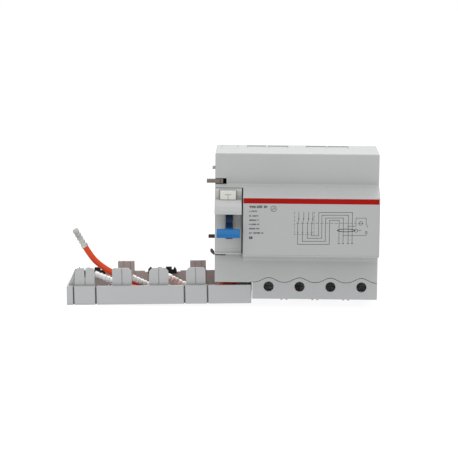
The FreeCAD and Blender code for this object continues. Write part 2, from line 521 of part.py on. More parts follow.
at = Solid("arm_tray_core")
at.pad("y", [rect("arm_x0", "arm_x1", "arm_z", "arm_z + arm_h")], "y_front", "y_back")
at.fillet(0.5, lambda e: along(e, "z") and near(e, y="y_front"))
at.pocket("z", [rect("arm_x0 + wall", "arm_x1 - wall", "y_front + wall", "y_back - wall")], "arm_z + 1.8", "arm_z + arm_h + 1")
at.pocket("z", [rect("-159.75", "-142.6", "y_front - 1", "y_front + wall + 0.5"), ], "arm_z - 1", "arm_z + arm_h + 1")
at.pocket("z", [rect("-80.15", "-62.4", "y_front - 1", "y_front + wall + 0.5")], "arm_z - 1", "arm_z + arm_h + 1")
walls = [box(st(i) + " - 13.2", st(i) + " + %s" % b, "y_back - 2", "y_back", "arm_z + arm_h - 1", "arm_z + arm_h + 0.9") for i, b in ((1, 13.2), (3, 12.2))]
posts = [cut(box(st(i) + " - %s" % a, st(i) + " + 5.8", "y_back - 2.6", "y_back", "arm_z + 1.8", "arm_z + 21.8", "post"),
             [box(st(i) + " - 2.4", st(i) + " - 1.8", "y_back - 3", "y_back - 2.3", "arm_z + 6", "arm_z + 22.9"),
              box(st(i) + " + 2.4", st(i) + " + 3.0", "y_back - 3", "y_back - 2.3", "arm_z + 6", "arm_z + 22.9")]) for i, a in ((1, 6.5), (3, 5.9))]
ribs = [cut(box(st(i) + " + 12.8", st(i) + " + 13.7", "y_front + wall", "y_back - wall", "arm_z + 1.8", "arm_z + 5.2"),
            [box(st(i) + " + 12", st(i) + " + 14", -44, -18, "arm_z + 2.4", "arm_z + 6")]) for i in (0, 1, 2)]
shelf = [box(st(i) + " - 8", st(i) + " + 8", "y_front + wall", "y_front + 5", "arm_z + arm_h - 2", "arm_z + arm_h") for i in (1, 2)]


def tab(i, cham, h):
    s = Solid("tab_core_%d" % (i + 1))
    c = st(i)
    top = "arm_z + %s" % h
    s.pad("y", [[(c + " - 6.95", "arm_z + arm_h - 1.2"), (c + " + 6.95", "arm_z + arm_h - 1.2"), (c + " + 6.95", top + " - %s" % cham[1]),
                 (c + " + 6.95 - %s" % cham[1], top), (c + " - 6.95 + %s" % cham[0], top), (c + " - 6.95", top + " - %s" % cham[0])]],
          "y_front + 3", "y_front + 5")
    s.fillet(0.9 * min(cham) if min(cham) > 1 else 0.6, lambda e: along(e, "y") and e.CenterOfMass.z > D["arm_z"] + D["arm_h"] + 6)
    s.pocket("y", [rect(c + " - 0.25", c + " + 0.25", "arm_z + arm_h + 0.5", "arm_z + arm_h + 12.5")], "y_front + 2", "y_front + 3.4")
    return s.body


gusset = Solid("gusset")
gusset.pad("y", [[("-163.4", "arm_z + arm_h - 0.4"), ("-159.0", "arm_z + arm_h - 0.4"), ("-158.2", "arm_z + arm_h + 2"), ("-157.2", "arm_z + 25.2"), ("-158.2", "arm_z + 25.2")]],
           "y_front + 5.25", "y_front + 6.2")
gusset_foot = box("-163.4", "-159.0", "y_front + 1.2", "y_front + 6.2", "arm_z + arm_h - 1.2", "arm_z + arm_h")
node(arm_place(fuse([at.body, tab(1, (0.9, 2.2), 25.7), tab(2, (2.4, 2.4), 25.7), gusset.body, gusset_foot] + walls + posts + ribs + shelf, "arm_tray")))

i1 = Solid("arm_insert_1_core")
i1.pad("y", [rect("-158.75", "-143.8", "arm_z", "arm_z + arm_h")], "y_front", "y_front + 2")
i1.fillet(0.4, lambda e: along(e, "z") and near(e, y="y_front"))
t1 = Solid("tab_core_1")
t1.pad("y", [[("-158.6", "arm_z + arm_h - 1.2"), ("-144.2", "arm_z + arm_h - 1.2"), ("-144.2", "arm_z + 24.6"), ("-145.2", "arm_z + 25.9"), ("-156.9", "arm_z + 25.9"), ("-158.1", "arm_z + 24.0"), ("-158.6", "arm_z + 15")]],
       "y_front + 3", "y_front + 5")
t1.fillet(0.6, lambda e: along(e, "y") and e.CenterOfMass.z > D["arm_z"] + D["arm_h"] + 6)
t1.pocket("y", [rect("-151.4", "-150.5", "arm_z + 18.9", "arm_z + 27")], "y_front + 2", "y_front + 6")
t1.pocket("y", [rect("-151.2", "-150.7", "arm_z + arm_h + 0.5", "arm_z + 18.4")], "y_front + 2", "y_front + 3.4")
node(arm_place(fuse([i1.body, t1.body, box("-158.75", "-143.8", "y_front + 1", "y_front + 5", "arm_z + arm_h - 2", "arm_z + arm_h"),
                     box("-160.5", "-141.9", "y_front + wall + 0.2", "y_front + wall + 1.0", "arm_z + 2.0", "arm_z + arm_h - 1.4"),
                     box("-158.0", "-144.7", "y_front + 1", "y_front + 7", "arm_z + 1.8", "arm_z + 3.2")], "arm_insert_1")))
i4 = Solid("arm_insert_4_core")
i4.pad("y", [rect("-79.0", "-63.5", "arm_z", "arm_z + arm_h")], "y_front", "y_front + 2")
i4.fillet(0.4, lambda e: along(e, "z") and near(e, y="y_front"))
node(arm_place(fuse([i4.body, tab(3, (2.2, 1.2), 25.7), box("-79.0", "-63.5", "y_front + 1", "y_front + 5", "arm_z + arm_h - 2", "arm_z + arm_h"),
                     box("-81.0", "-61.6", "y_front + wall + 0.2", "y_front + wall + 1.0", "arm_z + 2.0", "arm_z + arm_h - 0.3"),
                     box("-78.8", "-64.4", "y_front + 1", "y_front + 7", "arm_z + 1.8", "arm_z + 3.2")], "arm_insert_4")))
clips = []
for i in (0, 2):
    c = st(i)
    cl = Solid("clip_core_%d" % i)
    cl.pad("y", [[(c + " - 10.6", "arm_z + 12.6"), (c + " + 10.6", "arm_z + 12.6"), (c + " + 10.6", "arm_z + 15.1"), (c + " + 9.2", "arm_z + 17.7"), (c + " + 8.0", "arm_z + 15.4"),
                  (c + " + 7.0", "arm_z + 15.4"), (c + " + 7.0", "arm_z + 17.5"), (c + " + 2.6", "arm_z + 17.5"), (c + " + 2.6", "arm_z + 15.2"), (c + " - 0.6", "arm_z + 15.2"),
                  (c + " - 0.6", "arm_z + 17.2"), (c + " - 3.2", "arm_z + 17.2"), (c + " - 3.2", "arm_z + 15.2"), (c + " - 7.6", "arm_z + 15.2"),
                  (c + " - 7.6", "arm_z + 16.4"), (c + " - 8.6", "arm_z + 17.7"), (c + " - 10.6", "arm_z + 15.6")]], "y_back - 4.4", "y_back - 2")
    clips.append(cl.body)
node(arm_place(solids(clips, "rear_clips")))

# ======================================================================== leads
# Each lead leaves the guide block inside the housing, drops through the notch and runs
# left in the arm's trough to the ferrule at its own station.
def route_path(pts):
    """Straight runs joined by tangent arcs; returns the wire, its length and the arc radii."""
    P = [V(*p) for p in pts]
    edges, radii, length = [], [], 0.0
    prev = P[0]
    for k in range(1, len(P) - 1):
        a, b, c = P[k - 1], P[k], P[k + 1]
        u, w = (a - b), (c - b)
        run = min(u.Length, w.Length)
        u.normalize(); w.normalize()
        turn = math.pi - u.getAngle(w)
        t = 0.45 * run
        r = t / math.tan(turn / 2)
        radii.append(r)
        p1, p2 = b + u * t, b + w * t
        bis = (u + w); bis.normalize()
        centre = b + bis * (r / math.cos(turn / 2))
        mid = centre - bis * r
        edges.append(Part.LineSegment(prev, p1).toShape())
        edges.append(Part.Arc(p1, mid, p2).toShape())
        length += (p1 - prev).Length + r * turn
        prev = p2
    edges.append(Part.LineSegment(prev, P[-1]).toShape())
    length += (P[-1] - prev).Length
    return Part.Wire(edges), length, radii


ROUTES = {
    1: [(-32.2, -29, -37.8), (-41.3, -29, -42.0), (-49.9, -29.2, -49.0), (-59.4, -29.4, -53.4), (-72, -29, -54.7), (-86, -28.7, -54.1), (-100, -28.9, -52.5), (-113, -29, -49.6),
        (-124, -29, -45.8), (-133.6, -29, -41.0), (-141.8, -29, -35.9), (-148.5, -29, -29.5), (-153.2, -29, -21.5)],
    2: [(-32.2, -34.5, -37.8), (-41.3, -34.5, -42.0), (-49.9, -34.6, -49.0), (-59.4, -34.9, -53.3), (-71.5, -34.7, -54.6), (-85, -34.4, -54.8), (-99, -34.5, -54.2),
        (-112.2, -34.6, -52.4), (-123.2, -34.5, -49.6), (-132.5, -34.5, -46.0)],
    3: [(-32.2, -40, -37.8), (-41.3, -40, -42.0), (-49.9, -40, -49.0), (-58.0, -40, -52.9), (-67.2, -40, -54.9), (-77.6, -40, -55.2), (-88.2, -40, -54.2), (-97.4, -40, -52.0), (-105.6, -40, -48.2)],
    4: [(-32.2, -23.5, -37.8), (-41.3, -23.5, -42.0), (-49.9, -23.5, -48.8), (-57.6, -23.5, -52.8), (-64.0, -23.5, -54.5), (-70.2, -23.5, -54.8), (-76.0, -23.5, -53.5), (-81.0, -23.5, -50.8)],
}
FERRULES = {1: (-153.2, -29, -21.5), 2: (-132.5, -34.5, -46.0), 3: (-105.6, -40, -48.2), 4: (-81.0, -23.5, -50.8)}
for k in (1, 2, 3, 4):
    pts = [V(*p) for p in ROUTES[k]]
    wire, length, radii = route_path(ROUTES[k])
    d = pts[1] - pts[0]
    disc = Part.Wire(Part.makeCircle(D["lead_dia"] / 2, pts[0], d))
    tube = wire.makePipeShell([disc], True, True)
    print("lead_%d length %.1f radii %s volume ratio %.4f" % (k, length, ["%.1f" % r for r in radii],
          tube.Volume / (length * math.pi * D["lead_dia"] ** 2 / 4)))
    o = shape_feature("lead", Part.Solid(tube) if tube.ShapeType != "Solid" else tube)
    o.Label = "lead_%d" % k
    node(o)
for k in (1, 2, 3, 4):
    # crimped sleeve: cylinder with shallow ring grooves, along the lead's last direction
    p0 = V(*FERRULES[k])
    last = V(*ROUTES[k][-1]) - V(*ROUTES[k][-2])
    last.normalize()
    L, R = D["ferrule_len"], D["ferrule_dia"] / 2
    prof = [V(0, 0, 0), V(R, 0, 0)]
    z = 1.6
    while z < L - 1.6:
        prof += [V(R, 0, z), V(R - 0.28, 0, z + 0.35), V(R - 0.28, 0, z + 1.15), V(R, 0, z + 1.5)]
        z += 2.9
    prof += [V(R, 0, L - 0.4), V(R - 0.5, 0, L), V(0, 0, L), V(0, 0, 0)]
    s = Part.Face(Part.makePolygon(prof)).revolve(V(), V(0, 0, 1), 360)
    o = doc.addObject("Part::Feature", nm("ferrule"))
    o.Shape = s
    o.Placement = FreeCAD.Placement(p0, FreeCAD.Rotation(V(0, 0, 1), last))
    o.Label = "ferrule_%d" % k
    node(o)
# guide block that the leads leave, square to their first run
guide = doc.addObject("Part::Box", nm("guide"))
bind(guide, Length=3.0, Width=23.2, Height=6.2)
tilt = FreeCAD.Rotation(V(0, 1, 0), -math.degrees(math.atan2(4.2, 9.1)))
guide.Placement = FreeCAD.Placement(V(-32.2, -43.4, -37.8) + tilt.multVec(V(0, 0, -2.7)), tilt)
guide.Label = "lead_guide"
node(guide)

# ================================================================ check, export
doc.recompute()
bad = [o.Name + " " + o.Label + " " + str(o.State) for o in doc.Objects if "Invalid" in o.State or "Error" in o.State]
if bad:
    raise RuntimeError("failed: " + "; ".join(bad))
labels = [o.Label for o in NODES]
if len(set(labels)) != len(labels):
    raise RuntimeError("a label is used twice: " + ", ".join(sorted(labels)))
for o in NODES:
    sh = o.Shape
    if sh.isNull() or not sh.isValid() or not sh.Solids:
        raise RuntimeError("%s has no valid solid" % o.Label)
for o in NODES:
    o.Shape.exportStep("parts/%s.step" % o.Label)
    print("%-24s %2d solids %10.1f mm3" % (o.Label, len(o.Shape.Solids), o.Shape.Volume))
print(len(NODES), "nodes")
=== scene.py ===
import bpy, bmesh, math, random
from mathutils import Vector, Matrix


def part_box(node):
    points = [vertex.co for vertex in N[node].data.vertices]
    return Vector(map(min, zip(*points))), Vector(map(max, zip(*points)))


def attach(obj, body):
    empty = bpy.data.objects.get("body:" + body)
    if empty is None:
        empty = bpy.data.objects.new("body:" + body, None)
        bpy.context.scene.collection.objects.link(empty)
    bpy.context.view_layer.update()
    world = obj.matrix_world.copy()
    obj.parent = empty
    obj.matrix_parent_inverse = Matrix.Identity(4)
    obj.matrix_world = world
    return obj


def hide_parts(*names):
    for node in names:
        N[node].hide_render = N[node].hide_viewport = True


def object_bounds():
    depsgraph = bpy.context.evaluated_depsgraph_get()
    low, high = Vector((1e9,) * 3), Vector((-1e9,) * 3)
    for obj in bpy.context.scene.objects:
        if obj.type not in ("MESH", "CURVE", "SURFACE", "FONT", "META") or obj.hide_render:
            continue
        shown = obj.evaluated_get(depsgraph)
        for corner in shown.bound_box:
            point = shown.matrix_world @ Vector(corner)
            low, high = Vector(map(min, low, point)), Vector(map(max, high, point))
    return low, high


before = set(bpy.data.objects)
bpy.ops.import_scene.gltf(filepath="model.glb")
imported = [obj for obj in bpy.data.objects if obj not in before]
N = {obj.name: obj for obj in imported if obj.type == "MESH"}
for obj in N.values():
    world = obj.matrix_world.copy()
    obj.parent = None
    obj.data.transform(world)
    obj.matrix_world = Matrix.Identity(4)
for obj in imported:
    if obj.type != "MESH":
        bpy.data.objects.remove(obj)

random.seed(7)
cad_lo, cad_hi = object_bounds()
MM = 0.001

# ------------------------------------------------------------------- camera
cam_data = bpy.data.cameras.new("camera")
cam = bpy.data.objects.new("camera", cam_data)
bpy.context.scene.collection.objects.link(cam)
bpy.context.scene.camera = cam
cam_data.sensor_width = 36.0
cam_data.lens = 157.2
cam_data.clip_start, cam_data.clip_end = 0.05, 20.0
pitch, yaw, roll = math.radians(9.5), math.radians(-1.02), math.radians(0.42)
fwd = Vector((math.sin(yaw) * math.cos(pitch), math.cos(yaw) * math.cos(pitch), -math.sin(pitch)))
right = Vector((math.cos(yaw), -math.sin(yaw), 0))
up = right.cross(fwd)
cx = right * math.cos(roll) + up * math.sin(roll)
cy = up * math.cos(roll) - right * math.sin(roll)
cam.matrix_world = Matrix(((cx.x, cy.x, -fwd.x, -0.0231), (cx.y, cy.y, -fwd.y, -1.4555), (cx.z, cy.z, -fwd.z, 0.2305), (0, 0, 0, 1)))


# ---------------------------------------------------------------- materials
def new_mat(name):
    m = bpy.data.materials.new(name)
    m.use_nodes = True
    nt = m.node_tree
    for n in list(nt.nodes):
        if n.type != "BSDF_PRINCIPLED" and n.type != "OUTPUT_MATERIAL":
            nt.nodes.remove(n)
    b = next(n for n in nt.nodes if n.type == "BSDF_PRINCIPLED")
    return m, nt, b


def noise(nt, coord, scale, detail=3.0, rough=0.5):
    n = nt.nodes.new("ShaderNodeTexNoise")
    n.inputs["Scale"].default_value = scale
    n.inputs["Detail"].default_value = detail
    n.inputs["Roughness"].default_value = rough
    nt.links.new(coord, n.inputs["Vector"])
    return n


def ramp(nt, fac, c0, c1, p0=0.3, p1=0.7):
    r = nt.nodes.new("ShaderNodeValToRGB")
    r.color_ramp.elements[0].position, r.color_ramp.elements[1].position = p0, p1
    r.color_ramp.elements[0].color = (*c0, 1)
    r.color_ramp.elements[1].color = (*c1, 1)
    nt.links.new(fac, r.inputs["Fac"])
    return r


def mrange(nt, fac, lo, hi):
    r = nt.nodes.new("ShaderNodeMapRange")
    r.inputs["From Min"].default_value, r.inputs["From Max"].default_value = 0.3, 0.7
    r.inputs["To Min"].default_value, r.inputs["To Max"].default_value = lo, hi
    nt.links.new(fac, r.inputs["Value"])
    return r


def plastic(name, rgb, rough=0.42, var=0.03, grain=2600, bump=0.10, spec=0.45, blotch=22, coat=0.0, dust=0.0, painted_shade=0.0, reach=0.003, back_shade=None):
    """Moulded plastic: faint cloudy colour, spark-eroded surface grain, uneven gloss, a little dust in the grain;
    optionally painted shade from ambient occlusion and a painted darker colour toward the back of the piece.
    """
    m, nt, b = new_mat(name)
    tc = nt.nodes.new("ShaderNodeTexCoord").outputs["Object"]
    big = noise(nt, tc, blotch, 4)
    fine = noise(nt, tc, grain, 2, 0.6)
    mid = noise(nt, tc, grain * 0.22, 2)
    c0 = tuple(max(0, c * (1 - var)) for c in rgb)
    c1 = tuple(min(1, c * (1 + var)) for c in rgb)
    col = ramp(nt, big.outputs["Fac"], c0, c1)
    out = col.outputs["Color"]
    if dust:
        mix = nt.nodes.new("ShaderNodeMix")
        mix.data_type = "RGBA"
        mix.inputs["B"].default_value = (0.62, 0.60, 0.56, 1)
        d = mrange(nt, fine.outputs["Fac"], 0.0, dust)
        nt.links.new(d.outputs["Result"], mix.inputs["Factor"])
        nt.links.new(out, mix.inputs["A"])
        out = mix.outputs["Result"]
    if back_shade:
        # painted shade: the colour darkens toward the back of the piece, where the toggle's stem lies in the shadow
        # under the bulge: (start y, end y, colour), metres
        sep = nt.nodes.new("ShaderNodeSeparateXYZ")
        nt.links.new(tc, sep.inputs["Vector"])
        g = nt.nodes.new("ShaderNodeMapRange")
        g.inputs["From Min"].default_value, g.inputs["From Max"].default_value = back_shade[0], back_shade[1]
        g.inputs["To Min"].default_value, g.inputs["To Max"].default_value = 0.0, 1.0
        nt.links.new(sep.outputs["Y"], g.inputs["Value"])
        fx = nt.nodes.new("ShaderNodeMix")
        fx.data_type = "RGBA"
        fx.inputs["B"].default_value = (*back_shade[2], 1)
        nt.links.new(g.outputs["Result"], fx.inputs["Factor"])
        nt.links.new(out, fx.inputs["A"])
        out = fx.outputs["Result"]
    if painted_shade:
        # painted shade: the base colour is multiplied darker where ambient occlusion finds nearby surfaces, in the
        # narrow gaps, recesses and under overhangs
        an = nt.nodes.new("ShaderNodeAmbientOcclusion")
        an.samples = 8
        an.inputs["Distance"].default_value = reach
        ar = nt.nodes.new("ShaderNodeMapRange")
        ar.inputs["From Min"].default_value, ar.inputs["From Max"].default_value = 0.0, 0.85
        ar.inputs["To Min"].default_value, ar.inputs["To Max"].default_value = 1.0 - painted_shade, 1.0
        nt.links.new(an.outputs["AO"], ar.inputs["Value"])
        am = nt.nodes.new("ShaderNodeMix")
        am.data_type = "RGBA"
        am.blend_type = "MULTIPLY"
        am.inputs["Factor"].default_value = 1.0
        nt.links.new(out, am.inputs["A"])
        nt.links.new(ar.outputs["Result"], am.inputs["B"])
        out = am.outputs["Result"]
    nt.links.new(out, b.inputs["Base Color"])
    r = mrange(nt, mid.outputs["Fac"], rough - 0.05, rough + 0.06)
    nt.links.new(r.outputs["Result"], b.inputs["Roughness"])
    bp = nt.nodes.new("ShaderNodeBump")
    bp.inputs["Strength"].default_value = bump
    bp.inputs["Distance"].default_value = 0.00008
    nt.links.new(fine.outputs["Fac"], bp.inputs["Height"])
    nt.links.new(bp.outputs["Normal"], b.inputs["Normal"])
    b.inputs["Specular IOR Level"].default_value = spec
    b.inputs["Coat Weight"].default_value = coat
    return m


def metal(name, rgb, rough=0.3, var=0.12, grain=1500, bump=0.12, stretch=(1, 1, 1), stain=None, metallic=1.0):
    """Worked metal: streaked gloss, small pits and a little tarnish."""
    m, nt, b = new_mat(name)
    tc = nt.nodes.new("ShaderNodeTexCoord").outputs["Object"]
    mp = nt.nodes.new("ShaderNodeMapping")
    mp.inputs["Scale"].default_value = stretch
    nt.links.new(tc, mp.inputs["Vector"])
    big = noise(nt, tc, 160, 4)
    fine = noise(nt, mp.outputs["Vector"], grain, 3, 0.6)
    c0 = stain or tuple(c * (1 - var) for c in rgb)
    col = ramp(nt, big.outputs["Fac"], c0, tuple(min(1, c * (1 + var)) for c in rgb), 0.25, 0.6)
    nt.links.new(col.outputs["Color"], b.inputs["Base Color"])
    b.inputs["Metallic"].default_value = metallic
    r = mrange(nt, fine.outputs["Fac"], max(0.05, rough - 0.09), rough + 0.12)
    nt.links.new(r.outputs["Result"], b.inputs["Roughness"])
    bp = nt.nodes.new("ShaderNodeBump")
    bp.inputs["Strength"].default_value = bump
    bp.inputs["Distance"].default_value = 0.00006
    nt.links.new(fine.outputs["Fac"], bp.inputs["Height"])
    nt.links.new(bp.outputs["Normal"], b.inputs["Normal"])
    return m


GREY = (0.392, 0.401, 0.401)
M = {
    # painted shade: these plastics darken by ambient occlusion in gaps and recesses; the housing's 14 mm reach also
    # shades the shoulder under the nose
    "housing": plastic("housing_plastic", GREY, 0.46, 0.022, 2600, 0.12, 0.42, painted_shade=0.5, reach=0.014),
    "cover": plastic("terminal_cover_plastic", (0.390, 0.401, 0.404), 0.46, 0.02, 2600, 0.12, 0.42, painted_shade=0.5),
    "arm": plastic("arm_plastic", (0.396, 0.405, 0.408), 0.48, 0.025, 2400, 0.14, 0.4, painted_shade=0.6),
    # painted reflection and shade: warm brown-grey for the orange bounce from the leads and the shade on the rear
    # wall's inner face
    "arm_back_bounce_shade": plastic("arm_back_painted_bounce_shade", (0.400, 0.335, 0.318), 0.48, 0.025, 2400, 0.14, 0.35, painted_shade=0.6),
    "bezel": plastic("bezel_plastic", (0.425, 0.430, 0.425), 0.40, 0.02, 3200, 0.07, 0.45, painted_shade=0.55),
    "label": plastic("label_film", (0.368, 0.378, 0.376), 0.33, 0.012, 5200, 0.03, 0.38, 14),
    "stripe": plastic("stripe_film", (0.300, 0.007, 0.004), 0.6, 0.05, 5200, 0.03, 0.05, 30),
    # painted shade: the toggle's stem, at the back, turns deep dark blue for the shadow under the bulge
    "blue": plastic("toggle_plastic", (0.012, 0.130, 0.345), 0.36, 0.06, 3000, 0.06, 0.2, 120, back_shade=(-0.0735, -0.0690, (0.004, 0.020, 0.060))),
    "button": plastic("button_plastic", (0.560, 0.560, 0.520), 0.40, 0.02, 3400, 0.05, 0.4),
    "slider": plastic("slider_plastic", (0.150, 0.128, 0.115), 0.5, 0.12, 2600, 0.2, 0.3, 90),
    "black": plastic("clip_plastic", (0.010, 0.010, 0.010), 0.5, 0.2, 2600, 0.16, 0.25, 90),
    "inner": plastic("inner_plastic", (0.09, 0.09, 0.09), 0.5, 0.1, 2600, 0.15, 0.4),
    "board": plastic("board_mask", (0.020, 0.130, 0.050), 0.28, 0.15, 700, 0.05, 0.5, 200),
    "pvc": plastic("lead_pvc", (0.600, 0.055, 0.010), 0.40, 0.05, 1800, 0.10, 0.26, 60, painted_shade=0.3),
    "ink": plastic("print_ink", (0.055, 0.058, 0.062), 0.5, 0.15, 6000, 0.05, 0.25, 300),
    "ink_soft": plastic("print_ink_soft", (0.20, 0.205, 0.21), 0.5, 0.1, 6000, 0.05, 0.3, 300),
    # near-black metal for the terminal screws, darker than the other steel parts
    "screw": metal("screw_dark_metal", (0.048, 0.048, 0.050), 0.42, 0.3, 1400, 0.35, (1, 1, 1), (0.016, 0.016, 0.017)),
    "steel": metal("steel_turned", (0.56, 0.56, 0.55), 0.28, 0.1, 1600, 0.12, (0.15, 1, 1)),
    "zinc": metal("zinc_plated", (0.60, 0.59, 0.55), 0.34, 0.1, 900, 0.15),
    "copper": metal("copper_bar", (0.72, 0.36, 0.22), 0.34, 0.2, 1200, 0.12, (1, 1, 1), (0.42, 0.20, 0.12)),
    # painted light and shade: the four ferrules are one tinned metal in four copies, each set to its own brightness for
    # the light and shade that ferrule catches
    "tin_1": metal("ferrule_tinned_1", (0.46, 0.45, 0.43), 0.42, 0.15, 900, 0.3, (1, 1, 1), (0.27, 0.265, 0.255), 0.65),
    "tin_2": metal("ferrule_tinned_2", (0.86, 0.855, 0.845), 0.46, 0.06, 900, 0.2, (1, 1, 1), (0.70, 0.695, 0.685), 0.65),
    "tin_3": metal("ferrule_tinned_3", (0.76, 0.75, 0.73), 0.46, 0.12, 900, 0.3, (1, 1, 1), (0.40, 0.39, 0.375), 0.6),
    "tin_4": metal("ferrule_tinned_4", (0.76, 0.75, 0.73), 0.46, 0.12, 900, 0.3, (1, 1, 1), (0.40, 0.39, 0.375), 0.6),
    "latch": plastic("latch_plastic", (0.070, 0.060, 0.053), 0.55, 0.12, 2600, 0.2, 0.2, 90),
    "pin": plastic("coupling_pin_plastic", (0.040, 0.034, 0.029), 0.6, 0.12, 2600, 0.2, 0.12, 90),
    "core": plastic("core_coating", (0.10, 0.11, 0.16), 0.4, 0.15, 900, 0.25, 0.5),
}
SLOT_OF = {
    "front_cover": "housing", "rear_base": "housing", "terminal_cover": "cover", "toggle_bezel": "bezel",
    "arm_tray": "arm", "arm_insert_1": "arm", "arm_insert_4": "arm", "label_plate": "label", "label_stripe": "stripe",
    "toggle": "blue", "test_button": "button", "toggle_shaft": "steel", "trip_lever_shaft": "steel", "frame_spacers": "steel",
    "case_screws": "steel", "relay_plunger": "steel", "toggle_spring": "zinc", "test_button_spring": "zinc", "trip_spring": "zinc",
    "rail_clip_spring": "zinc", "mechanism_plate_left": "zinc", "mechanism_plate_right": "zinc", "test_contact_blade": "copper",
    "busbars": "copper", "transformer_winding": "copper", "relay_coil": "copper", "transformer_core": "core",
    "transformer_holder": "inner", "relay_case": "inner", "lead_guide": "inner", "test_resistor": "inner",
    "trip_lever": "slider", "coupling_pin": "pin", "upper_lock_slider": "slider", "lower_lock_slider": "latch", "locating_peg": "arm",
    "rail_clip": "black", "rear_clips": "black", "circuit_board": "board", "board_components": "black",
}
for i in range(1, 5):
    SLOT_OF["terminal_screw_%d" % i] = "screw"
    SLOT_OF["terminal_cage_%d" % i] = "zinc"
    SLOT_OF["lead_%d" % i] = "pvc"
    SLOT_OF["ferrule_%d" % i] = "tin_%d" % i
for n, o in N.items():
    o.data.materials.clear()
    o.data.materials.append(M[SLOT_OF[n]])
# painted reflection and shade: the front-facing inner face of the arm's rear wall and posts gets a warmer, darker grey
# for the orange bounce from the leads and the shade there
arm = N["arm_tray"]
arm.data.materials.append(M["arm_back_bounce_shade"])
for f in arm.data.polygons:
    c = arm.matrix_world @ f.center
    nrm = arm.matrix_world.to_3x3() @ f.normal
    if nrm.y < -0.7 and c.y > -0.0205:
        f.material_index = 1

# soften the CAD edges: weld the shading splits, then a small bevel
BEVEL = {"front_cover": 0.22, "rear_base": 0.25, "terminal_cover": 0.18, "toggle_bezel": 0.18, "arm_tray": 0.2, "arm_insert_1": 0.2, "arm_insert_4": 0.2,
         "rear_clips": 0.2, "upper_lock_slider": 0.15, "lower_lock_slider": 0.12, "rail_clip": 0.2, "toggle": 0.12, "test_button": 0.12,
         "terminal_screw_1": 0.1, "terminal_screw_2": 0.1, "terminal_screw_3": 0.1, "terminal_screw_4": 0.1, "locating_peg": 0.2, "coupling_pin": 0.2,
         "terminal_cage_1": 0.12, "terminal_cage_2": 0.12, "terminal_cage_3": 0.12, "terminal_cage_4": 0.12, "case_screws": 0.15, "busbars": 0.12}
for n, w in BEVEL.items():
    o = N[n]
    wd = o.modifiers.new("weld", "WELD")
    wd.merge_threshold = 2e-6
    bv = o.modifiers.new("bevel", "BEVEL")
    bv.width = w * MM
    bv.segments = 2
    bv.limit_method = "ANGLE"
    bv.angle_limit = math.radians(38)
    bv.use_clamp_overlap = True
    bv.harden_normals = False
    bv.miter_outer = "MITER_ARC"


# ------------------------------------------------------------------ helpers
def obj_from(name, verts, faces, mat, body, smooth=False):
    me = bpy.data.meshes.new(name)
    me.from_pydata([tuple(c * MM for c in v) for v in verts], [], faces)
    me.validate()
    me.update()
    if smooth:
        for p in me.polygons:
            p.use_smooth = True
    o = bpy.data.objects.new(name, me)
    bpy.context.scene.collection.objects.link(o)
    me.materials.append(mat)
    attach(o, body)
    return o


class Ink:
    """Thin raised print on a face that looks to -Y: strokes and dots in X, Z millimetres."""

    def __init__(self, y, thick=0.035):
        self.v, self.f, self.y0, self.y1 = [], [], y + 0.01, y - thick

    def poly(self, pts):
        k, n = len(self.v), len(pts)
        self.v += [(x, self.y0, z) for x, z in pts] + [(x, self.y1, z) for x, z in pts]
        area = sum(pts[i][0] * pts[(i + 1) % n][1] - pts[(i + 1) % n][0] * pts[i][1] for i in range(n))
        front = list(range(k + n, k + 2 * n))
        back = list(range(k, k + n))
        if area < 0:
            front.reverse(); back.reverse()
        # front faces -Y: counter-clockwise in X, Z seen from -Y
        self.f.append(front)
        self.f.append(back[::-1])
        for i in range(n):
            a, b = k + i, k + (i + 1) % n
            q = [a, b, b + n, a + n]
            self.f.append(q if area > 0 else q[::-1])

    def line(self, p, q, w=0.24):
        d = Vector((q[0] - p[0], q[1] - p[1]))
        if d.length < 1e-6:
            return
        d.normalize()
        s = Vector((-d.y, d.x)) * w / 2
        e = d * w * 0.5
        self.poly([(p[0] - e.x - s.x, p[1] - e.y - s.y), (q[0] + e.x - s.x, q[1] + e.y - s.y), (q[0] + e.x + s.x, q[1] + e.y + s.y), (p[0] - e.x + s.x, p[1] - e.y + s.y)])

    def path(self, pts, w=0.24):
        for a, b in zip(pts, pts[1:]):
            self.line(a, b, w)

    def dashed(self, p, q, on=1.5, off=1.1, w=0.2):
        d = Vector((q[0] - p[0], q[1] - p[1]))
        L = d.length
        d.normalize()
        t = 0.0
        while t < L:
            e = min(L, t + on)
            self.line((p[0] + d.x * t, p[1] + d.y * t), (p[0] + d.x * e, p[1] + d.y * e), w)
            t += on + off

    def ring(self, c, r, w=0.24, n=24):
        pts = [(c[0] + r * math.cos(2 * math.pi * i / n), c[1] + r * math.sin(2 * math.pi * i / n)) for i in range(n)]
        for i in range(n):
            self.line(pts[i], pts[(i + 1) % n], w)

    def make(self, name, mat, body="housing"):
        return obj_from(name, self.v, self.f, mat, body)


